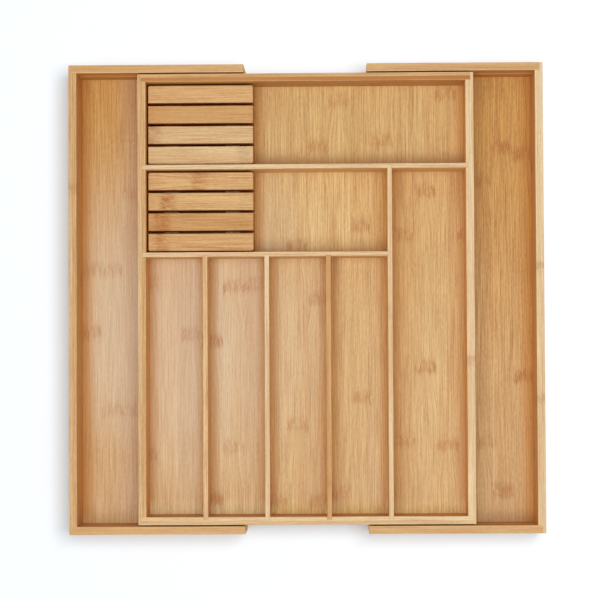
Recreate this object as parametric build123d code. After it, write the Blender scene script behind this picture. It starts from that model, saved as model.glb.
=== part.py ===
from build123d import *
import os

# Expandable bamboo cutlery tray. A divided middle tray stands between two wings, which
# slide out from under it to the left and right, and two knife blocks lift out of it.
# Millimetres. +X is right, +Y is rear, +Z is up. The origin is the middle of the base.

os.makedirs("parts", exist_ok=True)

# Whole tray
tray_width = 323.6
tray_depth = 434.0
rim_height = 57.0

# Planks: the middle tray's walls, the wings' walls, the dividers and the floor panels
tray_wall = 7.7
wing_wall = 7.7
divider_thickness = 4.5
floor_thickness = 4.0
edge_ease = 0.6

# Floor panels float in grooves, with a strip of wall left under each groove
floor_groove = 3.5
floor_play = 0.3
floor_land = 2.5

# Side walls are rabbeted over the ends of the front and rear walls, and keep this lip
corner_lip = 3.0

# Divider ends are housed in dadoes
wall_dado = 3.0
divider_dado = 1.5

# Compartments
long_slot_width = 71.0
slot_count = 4

# Knife blocks: slats on edge, let over two battens
slat_count = 4
slat_length = 102.0
slat_width = 17.0
slat_height = 31.5
slat_gap = 2.75
block_corner = 2.0
slat_ease = 1.0
batten_width = 14.0
batten_height = 9.0
batten_inset = 14.0
block_play = 3.75
block_front_gap = 1.7
block_side_gap = 1.5
block_seat_gap = 0.2

# Slides: runners on the middle tray ride in blind grooves in the wings' walls
slide_gap = 0.3
side_gap = 1.3
groove_height = 12.0
groove_depth = 3.5
groove_drop = 17.5
groove_stop = 6.0
runner_let_in = 2.5
runner_setback = 8.0
closed_gap = 0.3
meeting_gap = 1.2
full_pull = 80.0
rest_pull = 58.7

cut_overrun = 2.0

# Levels
wing_floor_top = floor_land + floor_thickness
tray_base = wing_floor_top + slide_gap
tray_floor_low = tray_base + floor_land
tray_floor_top = tray_floor_low + floor_thickness
groove_top = rim_height - groove_drop
groove_mid = groove_top - groove_height / 2
runner_height = groove_height - 2 * slide_gap

# Middle tray in plan
tray_x = tray_width / 2
tray_y = tray_depth / 2
inner_x = tray_x - tray_wall
inner_y = tray_y - tray_wall

# Wings in plan, as they stand pulled out to rest_pull
wing_length = tray_x + closed_gap + wing_wall - meeting_gap / 2
wing_outer_x = tray_x + closed_gap + rest_pull + wing_wall
wing_inner_x = wing_outer_x - wing_wall
wing_free_x = wing_outer_x - wing_length
wing_inner_y = tray_y + side_gap
wing_outer_y = wing_inner_y + wing_wall

# Dividers in plan: the two rear compartments are as deep as a knife block and its play
block_depth = slat_count * slat_width + (slat_count - 1) * slat_gap
compartment_depth = block_depth + block_play
rear_divider_y = inner_y - compartment_depth - divider_thickness / 2
middle_divider_y = rear_divider_y - divider_thickness - compartment_depth
long_divider_x = inner_x - long_slot_width - divider_thickness / 2
slots_right = long_divider_x - divider_thickness / 2
slots_width = slots_right + inner_x - (slot_count - 1) * divider_thickness
slot_pitch = slots_width / slot_count + divider_thickness


def span_box(x_span, y_span, z_span):
    # Box from the low to the high end given along each axis
    spans = (x_span, y_span, z_span)
    sizes = [high - low for low, high in spans]
    centre = [(low + high) / 2 for low, high in spans]
    return Pos(*centre) * Box(*sizes)


def plank(x_span, y_span, z_span, grain, free_ends=()):
    # Sawn plank, eased along its rim, and up and over each end that is not housed in a joint
    blank = span_box(x_span, y_span, z_span)
    eased = blank.edges().filter_by(grain).group_by(Axis.Z)[-1]
    ends = blank.faces().sort_by(grain)
    for end in free_ends:
        outline = ends[end].edges()
        eased = eased + outline.filter_by(Axis.Z) + outline.group_by(Axis.Z)[-1]
    return fillet(eased, edge_ease)


def about(middle, width):
    # The two ends of a width centred on a place
    return (middle - width / 2, middle + width / 2)


def dado(x_span, y_span):
    # Housing for a divider's end, open at the rim and down to the middle tray's floor
    return span_box(x_span, y_span, (tray_floor_top, rim_height + cut_overrun))


def slide_slot(x_span, y_span, height):
    # Long slot with round ends, lying along X and as thick as the Y span
    length = x_span[1] - x_span[0]
    face = Plane(
        origin=((x_span[0] + x_span[1]) / 2, y_span[0], groove_mid),
        x_dir=(1, 0, 0),
        z_dir=(0, 1, 0),
    )
    return extrude(face * SlotOverall(length, height), amount=y_span[1] - y_span[0])


# Middle tray walls and floor
wall_levels = (tray_base, rim_height)
floor_levels = (tray_floor_low, tray_floor_top)


def tray_floor_housing():
    # Space milled into all four walls for the floor panel
    reach_x = inner_x + floor_groove
    reach_y = inner_y + floor_groove
    return span_box((-reach_x, reach_x), (-reach_y, reach_y), floor_levels)


def tray_floor():
    reach_x = inner_x + floor_groove - floor_play
    reach_y = inner_y + floor_groove - floor_play
    return span_box((-reach_x, reach_x), (-reach_y, reach_y), floor_levels)


def runner_span():
    # A runner's ends along X on the right: its nose meets the groove's end at full pull
    nose = tray_x + closed_gap + wing_wall + full_pull - wing_length + groove_stop
    return (nose + slide_gap, tray_x - runner_setback)


def runner(side, rear):
    # One runner, at the right (1) or left (-1) and the rear (1) or front (-1)
    reach = wing_inner_y + groove_depth - slide_gap
    strip = slide_slot(runner_span(), (tray_y - runner_let_in, reach), runner_height)
    if side < 0:
        strip = mirror(strip, about=Plane.YZ)
    if rear < 0:
        strip = mirror(strip, about=Plane.XZ)
    return strip


def tray_side_wall(divider_places):
    # Right wall with a housing for each divider that meets it
    wall = plank((inner_x, tray_x), (-tray_y, tray_y), wall_levels, Axis.Y, free_ends=(0, -1))
    seat_x = (inner_x - cut_overrun, tray_x - corner_lip)
    seat_z = (tray_base - cut_overrun, rim_height + cut_overrun)
    wall -= span_box(seat_x, (inner_y, tray_y + cut_overrun), seat_z)
    wall -= span_box(seat_x, (-tray_y - cut_overrun, -inner_y), seat_z)
    wall -= tray_floor_housing()
    for place in divider_places:
        wall -= dado((inner_x, inner_x + wall_dado), about(place, divider_thickness))
    return wall


def tray_end_wall(divider_places):
    # Rear wall, with seats for its two runners and a housing for each divider
    half = tray_x - corner_lip
    wall = plank((-half, half), (inner_y, tray_y), wall_levels, Axis.X)
    wall -= tray_floor_housing()
    for side in (-1, 1):
        wall -= runner(side, 1)
    for place in divider_places:
        wall -= dado(about(place, divider_thickness), (inner_y, inner_y + wall_dado))
    return wall


# Dividers
divider_levels = (tray_floor_top, rim_height)
first_short_divider_x = slot_pitch - divider_thickness / 2 - inner_x
short_divider_places = [first_short_divider_x + slot_pitch * number for number in range(slot_count - 1)]


def rear_cross_divider():
    half = inner_x + wall_dado
    front_face = rear_divider_y - divider_thickness / 2
    board = plank((-half, half), about(rear_divider_y, divider_thickness), divider_levels, Axis.X)
    return board - dado(about(long_divider_x, divider_thickness), (front_face, front_face + divider_dado))


def middle_cross_divider():
    right_end = slots_right + divider_dado
    left_end = -inner_x - wall_dado
    front_face = middle_divider_y - divider_thickness / 2
    span_y = about(middle_divider_y, divider_thickness)
    board = plank((left_end, right_end), span_y, divider_levels, Axis.X)
    for place in short_divider_places:
        board -= dado(about(place, divider_thickness), (front_face, front_face + divider_dado))
    return board


def long_divider():
    rear_end = rear_divider_y - divider_thickness / 2 + divider_dado
    front_end = -inner_y - wall_dado
    span_x = about(long_divider_x, divider_thickness)
    board = plank(span_x, (front_end, rear_end), divider_levels, Axis.Y)
    span_y = about(middle_divider_y, divider_thickness)
    return board - dado((slots_right, slots_right + divider_dado), span_y)


def short_divider(place):
    rear_end = middle_divider_y - divider_thickness / 2 + divider_dado
    front_end = -inner_y - wall_dado
    return plank(about(place, divider_thickness), (front_end, rear_end), divider_levels, Axis.Y)


# Wings: modelled on the right, mirrored for the left
def wing_floor_housing():
    reach_x = (wing_free_x - cut_overrun, wing_inner_x + floor_groove)
    reach_y = wing_inner_y + floor_groove
    return span_box(reach_x, (-reach_y, reach_y), (floor_land, wing_floor_top))


def wing_floor():
    reach_x = (wing_free_x, wing_inner_x + floor_groove - floor_play)
    reach_y = wing_inner_y + floor_groove - floor_play
    return span_box(reach_x, (-reach_y, reach_y), (floor_land, wing_floor_top))


def wing_side_wall():
    span_y = (-wing_outer_y, wing_outer_y)
    wall = plank((wing_inner_x, wing_outer_x), span_y, (0, rim_height), Axis.Y, free_ends=(0, -1))
    seat_x = (wing_inner_x - cut_overrun, wing_outer_x - corner_lip)
    seat_z = (-cut_overrun, rim_height + cut_overrun)
    wall -= span_box(seat_x, (wing_inner_y, wing_outer_y + cut_overrun), seat_z)
    wall -= span_box(seat_x, (-wing_outer_y - cut_overrun, -wing_inner_y), seat_z)
    return wall - wing_floor_housing()


def wing_end_wall():
    # Rear wall of the right wing, with the blind groove that its runner slides in
    corner_x = wing_outer_x - corner_lip
    span_y = (wing_inner_y, wing_outer_y)
    wall = plank((wing_free_x, corner_x), span_y, (0, rim_height), Axis.X, free_ends=(0,))
    wall -= wing_floor_housing()
    groove_x = (wing_free_x + groove_stop, corner_x + groove_height)
    groove_y = (wing_inner_y - cut_overrun, wing_inner_y + groove_depth)
    return wall - slide_slot(groove_x, groove_y, groove_height)


# Knife blocks
def slat(x_low, y_low, z_low, at_front, at_rear):
    # One bar: the block's own corners are rounded, and all upper edges are eased
    bar = span_box((x_low, x_low + slat_length), (y_low, y_low + slat_width), (z_low, z_low + slat_height))
    uprights = bar.edges().filter_by(Axis.Z).group_by(Axis.Y)
    if at_front:
        bar = fillet(uprights[0], block_corner)
    if at_rear:
        bar = fillet(uprights[-1], block_corner)
    return fillet(bar.faces().sort_by(Axis.Z)[-1].edges(), slat_ease)


def batten(x_low, y_low, z_low):
    span_y = (y_low, y_low + block_depth)
    return span_box((x_low, x_low + batten_width), span_y, (z_low, z_low + batten_height))


def knife_block(name, divider_y):
    # Slats from front to rear, notched over two battens, just behind the given divider
    x_low = block_side_gap - inner_x
    y_low = divider_y + divider_thickness / 2 + block_front_gap
    z_low = tray_floor_top + block_seat_gap
    battens = [
        batten(x_low + batten_inset, y_low, z_low),
        batten(x_low + slat_length - batten_inset - batten_width, y_low, z_low),
    ]
    pieces = {}
    for number in range(slat_count):
        place = y_low + number * (slat_width + slat_gap)
        bar = slat(x_low, place, z_low, number == 0, number == slat_count - 1)
        for rail in battens:
            bar -= rail
        pieces[f"{name}_slat_{number + 1}"] = bar
    for number, rail in enumerate(battens):
        pieces[f"{name}_batten_{number + 1}"] = rail
    return pieces


parts = {
    "tray_right_wall": tray_side_wall([rear_divider_y]),
    "tray_left_wall": mirror(tray_side_wall([rear_divider_y, middle_divider_y]), about=Plane.YZ),
    "tray_rear_wall": tray_end_wall([]),
    "tray_front_wall": mirror(tray_end_wall([long_divider_x] + short_divider_places), about=Plane.XZ),
    "tray_floor": tray_floor(),
    "rear_cross_divider": rear_cross_divider(),
    "middle_cross_divider": middle_cross_divider(),
    "long_divider": long_divider(),
    "right_wing_side_wall": wing_side_wall(),
    "right_wing_rear_wall": wing_end_wall(),
    "right_wing_front_wall": mirror(wing_end_wall(), about=Plane.XZ),
    "right_wing_floor": wing_floor(),
}

for number, place in enumerate(short_divider_places):
    parts[f"short_divider_{number + 1}"] = short_divider(place)

for side_name, side in (("left", -1), ("right", 1)):
    for end_name, end in (("front", -1), ("rear", 1)):
        parts[f"{side_name}_{end_name}_runner"] = runner(side, end)

for piece in ("side_wall", "rear_wall", "front_wall", "floor"):
    parts[f"left_wing_{piece}"] = mirror(parts[f"right_wing_{piece}"], about=Plane.YZ)

parts.update(knife_block("rear_knife_block", rear_divider_y))
parts.update(knife_block("front_knife_block", middle_divider_y))

for name, solid in parts.items():
    export_step(solid, f"parts/{name}.step")
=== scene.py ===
import math

import bpy
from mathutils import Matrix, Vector


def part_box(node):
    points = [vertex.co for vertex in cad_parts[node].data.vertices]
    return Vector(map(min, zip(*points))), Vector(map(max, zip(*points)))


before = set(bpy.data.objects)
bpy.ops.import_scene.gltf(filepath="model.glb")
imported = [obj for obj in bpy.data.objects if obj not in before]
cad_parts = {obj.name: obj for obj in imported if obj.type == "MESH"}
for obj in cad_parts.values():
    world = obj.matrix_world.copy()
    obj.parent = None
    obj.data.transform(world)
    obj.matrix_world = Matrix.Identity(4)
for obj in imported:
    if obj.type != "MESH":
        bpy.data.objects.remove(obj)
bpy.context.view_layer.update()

# Bamboo cutlery tray, seen from above. Metres; patterns are laid out in millimetres.
print("frame loaded:", len(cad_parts), "nodes")

mm = 0.001


class Wire:
    # wraps a socket, so that a pattern reads as one expression
    def __init__(self, tree, socket):
        self.tree = tree
        self.socket = socket

    # any node: its settings are made first, then its sockets get values or links
    def add(self, kind, settings, values, output=0):
        node = self.tree.nodes.new(kind)
        for setting, value in settings.items():
            if setting == "stops":
                layStops(node.color_ramp, value)
            else:
                setattr(node, setting, value)
        for place, value in values.items():
            if isinstance(value, Wire):
                self.tree.links.new(value.socket, node.inputs[place])
            else:
                node.inputs[place].default_value = value
        if node.outputs:
            return Wire(self.tree, node.outputs[output])

    def math(self, operation, *others):
        return self.add("ShaderNodeMath", {"operation": operation}, dict(enumerate((self,) + others)))

    # the same with the number first
    def mathAfter(self, operation, other):
        return self.add("ShaderNodeMath", {"operation": operation}, {0: other, 1: self})

    def __add__(self, other):
        return self.math("ADD", other)

    def __radd__(self, other):
        return self.mathAfter("ADD", other)

    def __sub__(self, other):
        return self.math("SUBTRACT", other)

    def __rsub__(self, other):
        return self.mathAfter("SUBTRACT", other)

    def __mul__(self, other):
        return self.math("MULTIPLY", other)

    def __rmul__(self, other):
        return self.mathAfter("MULTIPLY", other)

    def __truediv__(self, other):
        return self.math("DIVIDE", other)

    def __rtruediv__(self, other):
        return self.mathAfter("DIVIDE", other)

    # 0 below low, 1 above high, smooth between; high below low turns it round
    def ease(self, low, high):
        settings = {"interpolation_type": "SMOOTHSTEP"}
        return self.add("ShaderNodeMapRange", settings, {0: self, 1: low, 2: high, 3: 0.0, 4: 1.0})

    # the first colour where this is 0, the second one where it is 1
    def blend(self, first, second):
        return self.add("ShaderNodeMix", {"data_type": "RGBA"}, {0: self, 6: first, 7: second}, 2)


def layStops(ramp, colours):
    # even steps along the ramp, one flat colour each
    ramp.interpolation = "CONSTANT"
    while len(ramp.elements) < len(colours):
        ramp.elements.new(1)
    for number, colour in enumerate(colours):
        ramp.elements[number].position = number / len(colours)
        ramp.elements[number].color = colour


def linear(red, green, blue):
    # a colour as read off a screen, 0 to 255, as the shader wants it
    channels = [value / 255 for value in (red, green, blue)]
    return tuple(((c + 0.055) / 1.055) ** 2.4 if c > 0.04045 else c / 12.92 for c in channels) + (1,)


tones = {
    # rims and dividers, from pale to dark
    "ivory": linear(238, 217, 180),
    "cream": linear(236, 209, 165),
    "straw": linear(223, 192, 143),
    "sand": linear(231, 194, 145),
    "honey": linear(218, 177, 123),
    "amber": linear(212, 166, 108),
    "toffee": linear(182, 120, 58),
    # slats
    "wheat": linear(230, 203, 155),
    "oat": linear(223, 190, 142),
    "corn": linear(226, 187, 131),
    "gapShade": linear(192, 102, 46),  # painted warm shade on their flanks, between them
    # floors
    "floor": linear(230, 198, 135),
    "wingFloor": linear(223, 178, 100),
    # painted sheen: the floors' tone where a lamp's reflection lies
    "paintedSheen": linear(226, 208, 176),
    "sunlit": linear(246, 218, 156),
    # painted shade, dull and cool, away from the lamp
    "dimShade": linear(196, 166, 146),
    "shaded": linear(196, 150, 108),
    "footShade": linear(204, 143, 64),  # painted warm shade along the foot of a wall and under the knife blocks
    "frontLeftLight": linear(255, 239, 186),  # painted light on the floor beside the front wall
    "frontRightLight": linear(255, 228, 160),
    # broad faces of walls and dividers
    "outside": linear(226, 190, 138),
    "sideInside": linear(244, 183, 108),
    # a darker copy for the inner faces of the front and rear walls: painted shade
    "endInsideShade": linear(214, 154, 84),
    "between": linear(246, 201, 132),
}

bamboo = {
    "deep": linear(162, 106, 54),  # the fibres' own colour
    "node": linear(172, 106, 54),  # knuckles
    "blush": linear(208, 156, 98),  # cloudy patches
    "glue": linear(120, 72, 38),  # line between two plies
    "glueLine": (0.45, 0.1),  # millimetres off its middle where it fades out and is full
    "edgeHighlight": linear(250, 222, 180),  # painted highlight along eased edges
    "edgeHighlightShare": 0.4,
    "edgeHighlightSlat": 0.9,  # how far in from its edge a slat's painted highlight reaches
    "edgeHighlightWall": (1, 0.2),  # in from a wall's faces, where the painted highlight fades out and is full
    "rimDrop": 0.2,  # from a wall's top down to where its broad face begins
    "rimBlur": 0.5,  # over how much it begins
    "stripSpread": 0.1,  # how much the strips differ
    "stripShift": 90,  # how far apart in the noise they may lie
    "dividerBlur": 1,  # how soon a floor's tone ends at a divider
    "rearToFront": (230, -230),  # the painted sheen grows towards the front
    "paleClouds": 0.4,  # how much of the clouds and the grain the painted sheen washes out
    "paleGrain": 0.45,
    "roughness": 0.5,
    "fibreRoughness": 0.1,
    "streakRoughness": 0.06,
    "gloss": 0.2,
    "bump": 0.1,
    "bumpDepth": 0.3,  # millimetres
    "fibreHeight": 0.6,
    "streakHeight": 0.4,
}

# size across and along the grain, the noise's values where each layer fades out and is full, and how dark it is
grainLayers = {
    "fibre": {"size": (0.55, 44), "detail": 1, "shift": 0, "range": (0.62, 0.36), "depth": 1.05},
    "dash": {"size": (0.7, 5), "detail": 1, "shift": 17, "range": (0.62, 0.36), "depth": 0.45},
    "line": {"size": (0.7, 190), "detail": 1, "shift": 23, "range": (0.58, 0.7), "depth": 0.65},
    "streak": {"size": (1.5, 120), "detail": 2, "shift": 7, "range": (0.64, 0.36), "depth": 0.15},
    "cloud": {"size": (9, 200), "detail": 2, "shift": 13, "range": (0.62, 0.34), "depth": 0.32},
}

# a pair is the distance from the middle where something fades out, then where it is full
knuckle = {
    "farAway": -1000,  # a strip without one has it here, where it never shows
    "toothPitch": 1.8,  # from one tooth to the next across the grain
    "toothLean": 0.4,
    "toothSide": (0.5, 0.12),  # in shares of the pitch
    "toothLuck": (0.05, 0.7),  # some teeth hardly show
    "toothReach": (8.5, 2),
    "toothJitter": 10,  # how unevenly they start
    "wobble": {"size": (5, 3.5), "detail": 1, "shift": 5, "amount": 1.6},
    "rootDrop": 5,  # a fine row of dots below the teeth
    "rootJitter": 2.5,
    "rootReach": (2.2, 0.3),
    "rootShare": 0.22,
    "smoke": {"size": (4, 7), "detail": 2, "shift": 9, "range": (0.3, 0.62)},
    "hazeReach": (12, 3),
    "haze": 0.3,  # its share, the rest is the teeth's
    "strength": 1.25,
    "fanLength": 46,  # down from the knuckle
    "fanTop": 1.5,
    "fanPinch": 0.8,
}


def grainNoise(along, across, through, seed, part):
    # noise drawn out along the fibres
    width, length = part["size"]
    shifted = across / width + (seed + part["shift"])
    spot = along.add("ShaderNodeCombineXYZ", {}, {0: shifted, 1: along / length, 2: through / width})
    values = {"Vector": spot, "Scale": 1.0, "Detail": part["detail"], "Roughness": 0.5}
    return along.add("ShaderNodeTexNoise", {}, values)


def luckOf(number):
    # the same random value, 0 to 1, wherever the number is the same
    return number.add("ShaderNodeTexWhiteNoise", {"noise_dimensions": "1D"}, {"W": number})


class Board:
    # where a spot lies on a board, in millimetres, and in which of its strips
    def __init__(self, start, look):
        self.seed = look["seed"]
        self.width = look["width"]
        self.count = look["count"]
        place = start.add("ShaderNodeTexCoord", {}, {}, "Object")
        self.axes = {axis: start.add("ShaderNodeSeparateXYZ", {}, {0: place}, axis) / mm for axis in "XYZ"}
        self.along = self.axes[look["grain"]]
        self.side = self.axes[look["strips"]]
        self.through = self.axes[({"X", "Y", "Z"} - {look["grain"], look["strips"]}).pop()]
        self.fromStart = self.side - look["start"]
        reach = self.fromStart / self.width
        self.strip = reach.math("FLOOR").math("MAXIMUM", 0).math("MINIMUM", self.count - 1)
        self.inStrip = reach - self.strip
        self.stop = (self.strip + 0.5) / self.count  # the middle of the strip's step on a ramp
        self.luck = luckOf(self.strip + self.seed)


def knucklesOf(board, knuckles, turn):
    # the place of each strip's knuckle, in millimetres along the grain, and how dark it is
    farAway = knuckle["farAway"]
    span = -2 * farAway
    values = []
    for number in range(board.count):
        found = knuckles.get(number, ())
        place, strength = found[turn] if turn < len(found) else (farAway, 0)
        values.append(((place - farAway) / span, strength, 0, 1))
    pair = board.stop.add("ShaderNodeValToRGB", {"stops": values}, {0: board.stop})
    share, strength = [pair.add("ShaderNodeSeparateColor", {}, {0: pair}, output) for output in ("Red", "Green")]
    return share * span + farAway, strength


def marksOf(board, look):
    # knuckles: a row of short brown teeth in a faint haze, and the fibres fan out below it
    knuckles = look.get("knuckles", {})
    hazy = look.get("haze", knuckle["haze"])
    mark = None
    fan = None
    for turn in range(max(map(len, knuckles.values()), default=0)):
        place, strength = knucklesOf(board, knuckles, turn)
        distance = board.along - place
        # the teeth lean apart towards the strip's edges
        lean = (board.inStrip - 0.5) * distance * knuckle["toothLean"]
        wobble = grainNoise(board.along, board.side, board.through, board.seed, knuckle["wobble"])
        teeth = (board.side + lean) / knuckle["toothPitch"] + wobble * knuckle["wobble"]["amount"]
        tooth = teeth.math("FLOOR")
        toothLuck = luckOf(tooth + board.seed)
        across = (teeth - tooth - 0.5).math("ABSOLUTE").ease(*knuckle["toothSide"])
        off = (distance + (toothLuck - 0.5) * knuckle["toothJitter"]).math("ABSOLUTE")
        here = off.ease(*knuckle["toothReach"]) * (across * toothLuck.ease(*knuckle["toothLuck"]))
        root = distance + knuckle["rootDrop"] + (toothLuck - 0.5) * knuckle["rootJitter"]
        root = root.math("ABSOLUTE").ease(*knuckle["rootReach"]) * knuckle["rootShare"]
        smoke = grainNoise(board.along, board.side, board.through, board.seed, knuckle["smoke"])
        smoke = smoke.ease(*knuckle["smoke"]["range"])
        haze = distance.math("ABSOLUTE").ease(*knuckle["hazeReach"]) * smoke * hazy
        here = (here.math("MAXIMUM", root) * (1 - hazy) + haze) * strength * knuckle["strength"]
        mark = here if mark is None else mark.math("MAXIMUM", here)
        if look["strips"] != "Z":
            spread = distance.ease(-knuckle["fanLength"], 0) * distance.ease(knuckle["fanTop"], 0)
            fan = spread if fan is None else fan.math("MAXIMUM", spread)
    return mark, fan


def paleOf(board, look):
    # painted sheen: how much of it a floor gets, towards the front and round one spot
    patch = board.axes["Y"].ease(*bamboo["rearToFront"]) * look["paleFront"]
    if "pale" in look:
        centre, (inner, outer) = look["pale"]
        off = [board.axes[axis] - middle for axis, middle in zip("XY", centre)]
        distance = (off[0] * off[0] + off[1] * off[1]).math("SQRT")
        patch = distance.ease(outer, inner).math("MAXIMUM", patch)
    return patch


def toneFloor(board, look, colour):
    blur = bamboo["dividerBlur"]
    # painted shade and painted light in stripes along the grain: beside walls and dividers, and under the knife
    # blocks
    for tone, middle, half, (front, rear, fade), width, share in look.get("bands", ()):
        near = ((board.side - middle).math("ABSOLUTE") - half).ease(width, 0)
        near = near * board.along.ease(front - fade, front) * board.along.ease(rear + fade, rear)
        colour = (near * share).blend(colour, tones[tone])
    # and painted shade or light just behind a divider or the front wall
    for tone, place, (left, right), width, share in look.get("behind", ()):
        off = board.along - place
        near = off.ease(width, 0) * off.ease(-blur, 0)
        near = near * board.side.ease(left - blur, left) * board.side.ease(right + blur, right)
        colour = (near * share).blend(colour, tones[tone])
    return colour


def toneWall(board, look, colour, face):
    if "drift" in look:
        # one end of the board is another tone
        tone, low, high, share = look["drift"]
        colour = (board.along.ease(low, high) * share).blend(colour, tones[tone])
    if "inner" in look:
        # the inner ply, its broad face and the glue line
        off = board.through - look["ply"]
        toInner = off.ease(*look["turned"])
        colour = toInner.blend(colour, tones[look["inner"]])
        # the front and rear walls' inner faces take the darker copy: painted shade
        face = toInner.blend(face, tones["endInsideShade" if look["grain"] == "X" else "sideInside"])
        seam = off.math("ABSOLUTE").ease(*bamboo["glueLine"])
        colour = (seam * look["seam"]).blend(colour, bamboo["glue"])
    return colour, face


def highlightEdges(board, look, colour, face):
    if "edges" in look:
        # each strip is a slat with a painted highlight along its edges, and its flanks between the slats get
        # painted shade
        centre, half = look["edges"]
        edge = (board.inStrip * board.width - centre).math("ABSOLUTE").ease(half - bamboo["edgeHighlightSlat"], half)
        colour = (edge * bamboo["edgeHighlightShare"]).blend(colour, bamboo["edgeHighlight"])
        fromMiddle = (board.fromStart - board.width * board.count / 2).math("ABSOLUTE")
        face = (edge * fromMiddle.ease(*look["block"])).blend(face, tones["gapShade"])
    # painted highlight along a wall's top edges
    if "sides" in look:
        low, high = look["sides"]
        half = (high - low) / 2
        inset, full = bamboo["edgeHighlightWall"]
        edge = (board.through - (low + high) / 2).math("ABSOLUTE").ease(half - inset, half - full)
        colour = (edge * bamboo["edgeHighlightShare"]).blend(colour, bamboo["edgeHighlight"])
    if "rim" in look:
        # below the eased rim the broad face shows
        colour = board.axes["Z"].ease(look["rim"], look["rim"] - bamboo["rimBlur"]).blend(colour, face)
    return colour


def makeBamboo(name, look):
    material = bpy.data.materials.new(name)
    material.use_nodes = True
    material.node_tree.nodes.clear()
    start = Wire(material.node_tree, None)
    board = Board(start, look)
    mark, fan = marksOf(board, look)

    across = board.side
    if fan is not None:
        across = across + (board.inStrip - 0.5) * fan * (knuckle["fanPinch"] * board.width)
    layer = board.through + board.luck * bamboo["stripShift"]
    noise = {part: grainNoise(board.along, across, layer, board.seed, values)
             for part, values in grainLayers.items()}
    depth = {part: noise[part].ease(*values["range"]) * values["depth"]
             for part, values in grainLayers.items()}
    clouds = depth["cloud"]
    dark = depth["fibre"] + depth["streak"] + depth["dash"] + depth["line"]
    dark = dark + (board.luck - 0.5) * bamboo["stripSpread"]

    if "tones" in look:
        stops = [tones[tone] for tone in look["tones"]]
        colour = start.add("ShaderNodeValToRGB", {"stops": stops}, {0: board.stop})
    else:
        colour = tones[look["tone"]]
    # painted sheen: paler, with less grain, towards the front and round one spot
    if "paleFront" in look:
        patch = paleOf(board, look)
        colour = patch.blend(colour, tones["paintedSheen"])
        clouds = clouds * (1 - patch * bamboo["paleClouds"])
        dark = dark * (1 - patch * bamboo["paleGrain"])
    colour, face = toneWall(board, look, colour, tones[look.get("face", "outside")])
    colour = toneFloor(board, look, colour)
    colour = highlightEdges(board, look, colour, face)
    colour = clouds.blend(colour, bamboo["blush"])
    colour = (dark * look["contrast"]).blend(colour, bamboo["deep"])
    if mark is not None:
        colour = mark.blend(colour, look.get("mark", bamboo["node"]))

    fibre, streak = noise["fibre"], noise["streak"]
    roughness = bamboo["roughness"] + fibre * bamboo["fibreRoughness"] + streak * bamboo["streakRoughness"]
    height = fibre * bamboo["fibreHeight"] + streak * bamboo["streakHeight"]
    values = {"Strength": bamboo["bump"], "Distance": bamboo["bumpDepth"] * mm, "Height": height}
    normal = start.add("ShaderNodeBump", {}, values)
    skin = start.add("ShaderNodeBsdfPrincipled", {}, {
        "Base Color": colour, "Roughness": roughness, "Normal": normal, "Specular IOR Level": bamboo["gloss"]})
    start.add("ShaderNodeOutputMaterial", {}, {0: skin})
    return material


# a floor's strips lie side by side, from "start" on, and its tones change in places
# "pale": the middle of the painted sheen's spot, and how far it is full and where it ends
# "bands" of painted shade or light, along the grain: tone, middle, half width, (front end, rear end, fade
# there), fade sideways, share
# "behind", painted shade or light behind a divider or wall: tone, place, (left end, right end), fade to the
# rear, share
# "knuckles", by strip: distance from the middle of the board, and how dark it is
trayFloor = {
    "grain": "Y", "strips": "X", "start": -165.9, "width": 20.9, "count": 16, "seed": 3.0,
    "tone": "floor", "contrast": 0.38, "pale": ((-150, -40), (40, 270)), "paleFront": 0.35,
    "bands": (
        ("footShade", -154.1, 0, (-210, 210, 1), 11, 0.6),  # painted shade beside the walls and dividers
        ("footShade", 154.1, 0, (-210, 210, 1), 11, 0.65),
        ("footShade", 80.85, 2.25, (-210, 125, 1), 12, 0.75),
        ("footShade", -97.05, 2.25, (-210, 40, 1), 11, 0.6),
        ("footShade", -37.75, 2.25, (-210, 40, 1), 11, 0.65),
        ("footShade", 21.55, 2.25, (-210, 40, 1), 11, 0.65),
        ("footShade", -102.4, 51.8, (42, 210, 1), 13, 0.8),  # painted shade under the knife blocks
        ("dimShade", -114.7, 6, (-210, 40, 1), 10, 0.28),  # painted shade over the right-hand halves of the slots
        ("dimShade", -53, 5, (-210, 40, 1), 9, 0.28),
        ("dimShade", 8.8, 5, (-210, 40, 1), 9, 0.18),
        ("dimShade", 66.6, 5, (-210, 40, 1), 9, 0.14),
        ("footShade", 96, 5, (-210, 125, 1), 9, 0.2),  # painted shade in the long compartment
        ("shaded", 147, 4, (-210, 125, 1), 8, 0.18),
        ("sunlit", 131, 4, (-210, -120, 60), 12, 0.35),
        ("sunlit", 25, 28, (45, 125, 1), 14, 0.4),  # middle compartment
    ),
    "behind": (
        ("shaded", 129.3, (-50, 154), 15, 0.85),
        ("shaded", 44.8, (-50, 78), 8, 0.65),
        # painted light where the front wall's shadow falls
        ("frontLeftLight", -209.3, (-154, -37.75), 18, 0.95),
        ("frontRightLight", -209.3, (-37.75, 154), 18, 0.95),
    ),
    "knuckles": {
        0: ((18, 0.4), (-151, 0.4)),
        2: ((-33, 0.45),),
        3: ((-39, 0.6), (-194, 0.65)),
        4: ((14, 0.45), (-143, 0.35)),
        5: ((16, 0.45),),
        6: ((-195, 0.4),),
        7: ((53, 0.5), (-122, 0.45)),
        8: ((152, 0.5), (2, 0.4), (-196, 0.5)),
        9: ((196, 0.5), (-189, 0.45)),
        10: ((73, 0.5), (-95, 0.45)),
        11: ((156, 0.55), (-203, 0.45)),
        12: ((64, 0.5), (-137, 0.45)),
        13: ((107, 0.6), (-66, 0.65)),
        14: ((203, 0.5), (-141, 0.5)),
        15: ((64, 0.5),),
    },
}

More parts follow.
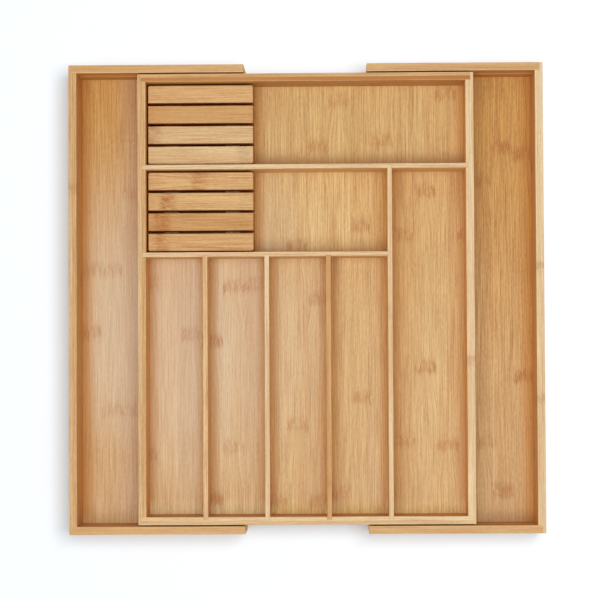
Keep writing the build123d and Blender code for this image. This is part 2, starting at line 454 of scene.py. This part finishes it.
leftWingFloor = {
    "grain": "Y", "strips": "X", "start": -223.1, "width": 20.8, "count": 8, "seed": 31.0,
    "tone": "wingFloor", "contrast": 0.4, "pale": ((-190, -25), (40, 230)), "paleFront": 0.6,
    "bands": (
        # painted shade along the foot of the side wall
        ("footShade", -220.8, 0, (-220, 220, 1), 17, 0.85),
        ("dimShade", -161.8, 6, (-220, 220, 1), 28, 0.5),  # painted shade beside the tray
    ),
    "behind": (("sunlit", -218.3, (-221, -162), 14, 0.5),),
    "knuckles": {
        0: ((-30, 0.5), (32, 0.35)),
        1: ((32, 0.3), (-106, 0.35)),
        2: ((106, 0.3), (-108, 0.3)),
    },
}

rightWingFloor = {
    "grain": "Y", "strips": "X", "start": 56.2, "width": 20.85, "count": 8, "seed": 57.0,
    "tone": "wingFloor", "contrast": 0.47, "paleFront": 0.5,
    "bands": (
        # painted shade along the foot of the side wall
        ("footShade", 220.8, 0, (-220, 220, 1), 17, 0.85),
        ("sunlit", 168, 4, (-220, -40, 120), 9, 0.35),
    ),
    "knuckles": {
        4: ((70, 0.3), (-152, 0.35)),
        5: ((118, 0.5), (-138, 0.4)),
        6: ((150, 0.75), (-188, 0.65)),
        7: ((143, 0.7), (-75, 0.75)),
    },
}

# a knife block's strips are its slats, from front to rear
slats = {
    "grain": "X", "strips": "Y", "width": 19.75, "count": 4,
    "edges": (9.9, 8.5),  # middle of a slat in its strip, and half its width
    "block": (38, 37),  # the block's outer faces lie beyond this and get no painted shade
    "rim": 44.8, "face": "toffee",
}

rearSlats = dict(slats, **{
    "start": 129.6, "seed": 71.0, "contrast": 0.32, "tones": ["wheat", "oat", "amber", "corn"],
    "knuckles": {0: ((-58, 0.3),), 1: ((-147, 0.5),)},
    "mark": linear(150, 106, 56), "haze": 0.35,
})

frontSlats = dict(slats, **{
    "start": 45.1, "seed": 83.0, "contrast": 0.42, "tones": ["corn", "amber", "corn", "corn"],
    "knuckles": {0: ((-139, 0.65),), 1: ((-139, 1.0),), 2: ((-133, 0.85),), 3: ((-103, 0.65),)},
    "mark": linear(166, 98, 38), "haze": 0.45,
})

# outward is the side on which the outer ply lies: -1 left or front, 1 right or rear
# share is where the plies meet, from left to right or front to rear, and seam how much their glue line shows
walls = {
    "tray_left_wall": {
        "grain": "Y", "outer": "straw", "inner": "honey", "outward": -1,
        "share": 0.55, "seam": 0.25, "contrast": 0.35},
    "tray_right_wall": {
        "grain": "Y", "outer": "cream", "inner": "cream", "outward": 1,
        "share": 0.5, "seam": 0.1, "contrast": 0.25},
    "tray_rear_wall": {
        "grain": "X", "outer": "honey", "inner": "toffee", "outward": 1,
        "share": 0.5, "seam": 0.4, "contrast": 0.35},
    "tray_front_wall": {
        "grain": "X", "outer": "straw", "inner": "cream", "outward": -1,
        "share": 0.5, "seam": 0.1, "contrast": 0.3},
    "left_wing_side_wall": {
        "grain": "Y", "outer": "straw", "inner": "honey", "outward": -1,
        "share": 0.55, "seam": 0.25, "contrast": 0.35},
    "left_wing_rear_wall": {
        "grain": "X", "outer": "honey", "inner": "honey", "outward": 1,
        "share": 0.5, "seam": 0.1, "contrast": 0.3},
    "left_wing_front_wall": {
        "grain": "X", "outer": "honey", "inner": "honey", "outward": -1,
        "share": 0.5, "seam": 0.1, "contrast": 0.3},
    "right_wing_side_wall": {
        "grain": "Y", "outer": "cream", "inner": "cream", "outward": 1,
        "share": 0.5, "seam": 0.1, "contrast": 0.25},
    "right_wing_rear_wall": {
        "grain": "X", "outer": "honey", "inner": "honey", "outward": 1,
        "share": 0.5, "seam": 0.1, "contrast": 0.3},
    "right_wing_front_wall": {
        "grain": "X", "outer": "honey", "inner": "honey", "outward": -1,
        "share": 0.5, "seam": 0.1, "contrast": 0.3},
}

# the tone towards one end: where it starts, where it is full and how much
drifts = {
    "tray_left_wall": ("amber", 40, 220, 0.6),
    "left_wing_side_wall": ("amber", 60, 230, 0.4),
    "right_wing_side_wall": ("ivory", 40, 230, 0.8),
    "left_wing_rear_wall": ("amber", -80, -220, 0.7),
}

dividers = {
    "rear_cross_divider": {"grain": "X", "tone": "cream", "contrast": 0.3},
    "middle_cross_divider": {"grain": "X", "tone": "cream", "contrast": 0.3},
    "long_divider": {"grain": "Y", "tone": "cream", "contrast": 0.25},
    "short_divider_1": {"grain": "Y", "tone": "sand", "contrast": 0.35},
    "short_divider_2": {"grain": "Y", "tone": "ivory", "contrast": 0.25},
    "short_divider_3": {"grain": "Y", "tone": "amber", "contrast": 0.3},
}

# these show only at the poses, and the first piece lends its box to the others
rails = {
    "pieces": [f"{side}_{end}_runner" for side in ("left", "right") for end in ("front", "rear")],
    "grain": "X", "tone": "honey", "contrast": 0.35, "seed": 300.0,
}
battens = {
    "pieces": [f"{block}_knife_block_batten_{number}" for block in ("front", "rear") for number in (1, 2)],
    "grain": "Y", "tone": "honey", "contrast": 0.35, "seed": 310.0,
}

# walls, dividers and rails have three strips, one above the other, and their knuckles are listed from below
wallStrips = {"strips": "Z", "start": -19.5, "width": 26.0, "count": 3}
wallKnuckles = {
    "tray_left_wall": {0: ((60, 0.5),), 1: ((-150, 0.5),)},
    "tray_right_wall": {0: ((120, 0.5),), 1: ((-20, 0.5),), 2: ((-60, 0.35),)},
    "tray_rear_wall": {0: ((-90, 0.5),), 1: ((70, 0.5),)},
    "tray_front_wall": {0: ((30, 0.5),), 1: ((-110, 0.5),)},
    "left_wing_side_wall": {0: ((-120, 0.5), (150, 0.4)), 1: ((20, 0.5),), 2: ((108, 0.4),)},
    "right_wing_side_wall": {0: ((80, 0.5),), 1: ((-150, 0.4), (130, 0.5)), 2: ((30, 0.35), (-97, 0.35))},
    "left_wing_rear_wall": {0: ((-130, 0.5),)},
    "left_wing_front_wall": {1: ((-170, 0.5),)},
    "right_wing_rear_wall": {1: ((160, 0.5),)},
    "right_wing_front_wall": {0: ((120, 0.5),)},
    "long_divider": {2: ((-13, 0.4),)},
    "short_divider_3": {2: ((5, 0.4), (-174, 0.5))},
}
seeds = {"walls": 100.0, "dividers": 200.0, "step": 9}
plyBlur = 0.25


def wallLook(node, grain, tone, contrast, seed):
    low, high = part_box(node)
    across = 1 if grain == "X" else 0
    return dict(wallStrips, **{
        "grain": grain, "tone": tone, "contrast": contrast, "seed": seed,
        "knuckles": wallKnuckles.get(node, {}),
        "rim": high.z / mm - bamboo["rimDrop"],
        "sides": (low[across] / mm, high[across] / mm),
    })


def twoPlies(look, node, wall):
    # where the plies meet, and which way the inner one lies
    low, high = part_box(node)
    across = 1 if wall["grain"] == "X" else 0
    ply = (low[across] + (high[across] - low[across]) * wall["share"]) / mm
    turned = (plyBlur, -plyBlur) if wall["outward"] > 0 else (-plyBlur, plyBlur)
    return dict(look, inner=wall["inner"], ply=ply, turned=turned, seam=wall["seam"])


def dress(node, material):
    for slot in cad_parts[node].material_slots:
        slot.material = material


def dressFloorsAndSlats():
    dress("tray_floor", makeBamboo("trayFloorBamboo", trayFloor))
    dress("left_wing_floor", makeBamboo("leftWingFloorBamboo", leftWingFloor))
    dress("right_wing_floor", makeBamboo("rightWingFloorBamboo", rightWingFloor))
    for block, look in (("rear", rearSlats), ("front", frontSlats)):
        material = makeBamboo(block + "SlatBamboo", look)
        for number in range(1, slats["count"] + 1):
            dress(f"{block}_knife_block_slat_{number}", material)


def dressWalls():
    for number, (node, wall) in enumerate(walls.items()):
        seed = seeds["walls"] + number * seeds["step"]
        look = wallLook(node, wall["grain"], wall["outer"], wall["contrast"], seed)
        if node in drifts:
            look["drift"] = drifts[node]
        dress(node, makeBamboo(node + "Bamboo", twoPlies(look, node, wall)))
    for number, (node, divider) in enumerate(dividers.items()):
        seed = seeds["dividers"] + number * seeds["step"]
        look = wallLook(node, divider["grain"], divider["tone"], divider["contrast"], seed)
        dress(node, makeBamboo(node + "Bamboo", dict(look, face="between")))


def dressRails():
    for name, rail in (("rail", rails), ("batten", battens)):
        look = wallLook(rail["pieces"][0], rail["grain"], rail["tone"], rail["contrast"], rail["seed"])
        material = makeBamboo(name + "Bamboo", look)
        for node in rail["pieces"]:
            dress(node, material)


dressFloorsAndSlats()
dressWalls()
dressRails()
print("bamboo laid on", len(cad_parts), "pieces")


studio = {
    "floorSize": 12.0,
    "floorColour": linear(242, 248, 255),
    "floorGlow": 0.2,  # only what the camera sees of the floor
    "horizon": (0.6, 2.2),  # metres from the tray over which the floor fades to white
    "roomLight": 0.48,
    "white": (1, 1, 1, 1),
    # the key lights the tray, the other one only the floor under it
    "lamps": {
        "keyLamp": {
            "place": (-0.07, -0.27, 2.6), "size": 1.4, "watts": 42.0, "colour": (1.0, 0.99, 0.975),
            "lights": "tray"},
        "floorLamp": {
            "place": (0.45, 0.15, 2.6), "size": 1.0, "watts": 49.0, "colour": (1, 1, 1),
            "lights": "floor"},
    },
}


def seenByCamera(start):
    # 1 for what the camera sees straight, in gloss or through glass
    rays = ("Is Camera Ray", "Is Glossy Ray", "Is Transmission Ray")
    camera, glossy, clear = [start.add("ShaderNodeLightPath", {}, {}, ray) for ray in rays]
    return camera.math("MAXIMUM", glossy).math("MAXIMUM", clear)


def makeFloor():
    bpy.ops.object.select_all(action="DESELECT")
    bpy.ops.mesh.primitive_plane_add(size=studio["floorSize"], location=(0, 0, 0))
    floor = bpy.context.object
    floor.name = "floor"
    material = bpy.data.materials.new("paperFloor")
    material.use_nodes = True
    material.node_tree.nodes.clear()
    start = Wire(material.node_tree, None)
    paper = start.add("ShaderNodeBsdfDiffuse", {}, {"Color": studio["floorColour"]})
    glow = start.add("ShaderNodeEmission", {}, {"Color": studio["white"], "Strength": 1.0})
    ground = start.add("ShaderNodeTexCoord", {}, {}, "Object")
    away = start.add("ShaderNodeVectorMath", {"operation": "LENGTH"}, {0: ground}, "Value")
    share = away.ease(*studio["horizon"]) * (1 - studio["floorGlow"]) + studio["floorGlow"]
    lit = start.add("ShaderNodeMixShader", {}, {0: seenByCamera(start) * share, 1: paper, 2: glow})
    start.add("ShaderNodeOutputMaterial", {}, {0: lit})
    floor.data.materials.append(material)
    return floor


def makeWorld():
    world = bpy.data.worlds.new("studioWorld")
    world.use_nodes = True
    world.node_tree.nodes.clear()
    start = Wire(world.node_tree, None)
    room = start.add("ShaderNodeBackground", {}, {"Color": studio["white"], "Strength": studio["roomLight"]})
    backdrop = start.add("ShaderNodeBackground", {}, {"Color": studio["white"], "Strength": 1.0})
    sky = start.add("ShaderNodeMixShader", {}, {0: seenByCamera(start), 1: room, 2: backdrop})
    start.add("ShaderNodeOutputWorld", {}, {0: sky})
    bpy.context.scene.world = world


def makeLamps(floor):
    receivers = {"tray": list(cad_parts.values()), "floor": [floor]}
    for name, lamp in studio["lamps"].items():
        light = bpy.data.lights.new(name, "AREA")
        light.shape = "SQUARE"
        light.size = lamp["size"]
        light.energy = lamp["watts"]
        light.color = lamp["colour"]
        holder = bpy.data.objects.new(name, light)
        holder.location = lamp["place"]
        holder.rotation_euler = (-Vector(lamp["place"])).to_track_quat("-Z", "Y").to_euler()
        bpy.context.collection.objects.link(holder)
        linked = bpy.data.collections.new(name + "Receivers")
        for piece in receivers[lamp["lights"]]:
            linked.objects.link(piece)
        holder.light_linking.receiver_collection = linked


floor = makeFloor()
makeWorld()
makeLamps(floor)
print("studio set up")


view = {
    "place": (0.0330, -0.06645, 2.1677),
    "turn": (1.7503, 1.0625, -0.2819),  # degrees off straight down
    "lens": 132.0,
    "sensor": 36,  # millimetres wide
}


def makeCamera():
    camera = bpy.data.cameras.new("camera")
    camera.sensor_fit = "HORIZONTAL"
    camera.sensor_width = view["sensor"]
    camera.lens = view["lens"]
    holder = bpy.data.objects.new("camera", camera)
    holder.location = view["place"]
    holder.rotation_euler = [math.radians(angle) for angle in view["turn"]]
    bpy.context.collection.objects.link(holder)
    bpy.context.scene.camera = holder


makeCamera()
bpy.context.scene.view_settings.view_transform = "Standard"
print("camera placed")
